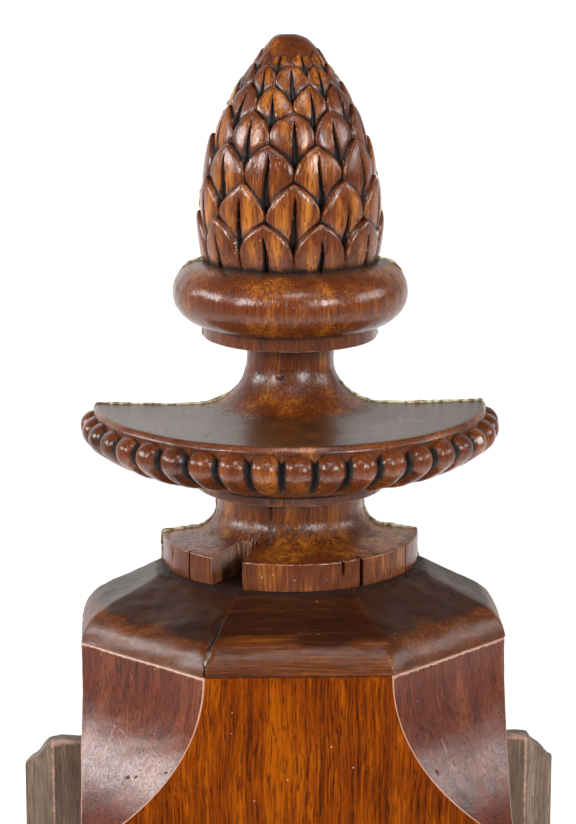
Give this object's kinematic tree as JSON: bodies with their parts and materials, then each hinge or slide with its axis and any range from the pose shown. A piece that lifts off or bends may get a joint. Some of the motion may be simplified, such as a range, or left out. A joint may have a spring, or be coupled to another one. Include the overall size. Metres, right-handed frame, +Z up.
{
  "type": "half newel post",
  "caption": "Half newel post in turned and carved wood: chamfered square post, hipped cap, gadrooned dish and pine cone finial, flat back on a wall board.",
  "frame": {"origin": "middle of the footprint, on the floor under the post", "axes": "+Z up along the post, -Y towards the carved front, +Y towards the flat back, X across the width"},
  "size_m": [0.259, 0.112, 1.1996],
  "materials": {
    "post": "aged varnished walnut, orange brown face with dark streaks, red brown chamfers, satin",
    "cap": "aged varnished walnut, dark brown, worn pale edges, satin",
    "finial": "aged varnished walnut, red brown with dark grime in the carving, semi gloss",
    "back_board": "aged wood, grey brown, matt, rough sawn top edge"
  },
  "bodies": {
    "root": {"post": "post", "cap": "cap", "finial": "finial", "back_board": "back_board"}
  },
  "joints": []
}
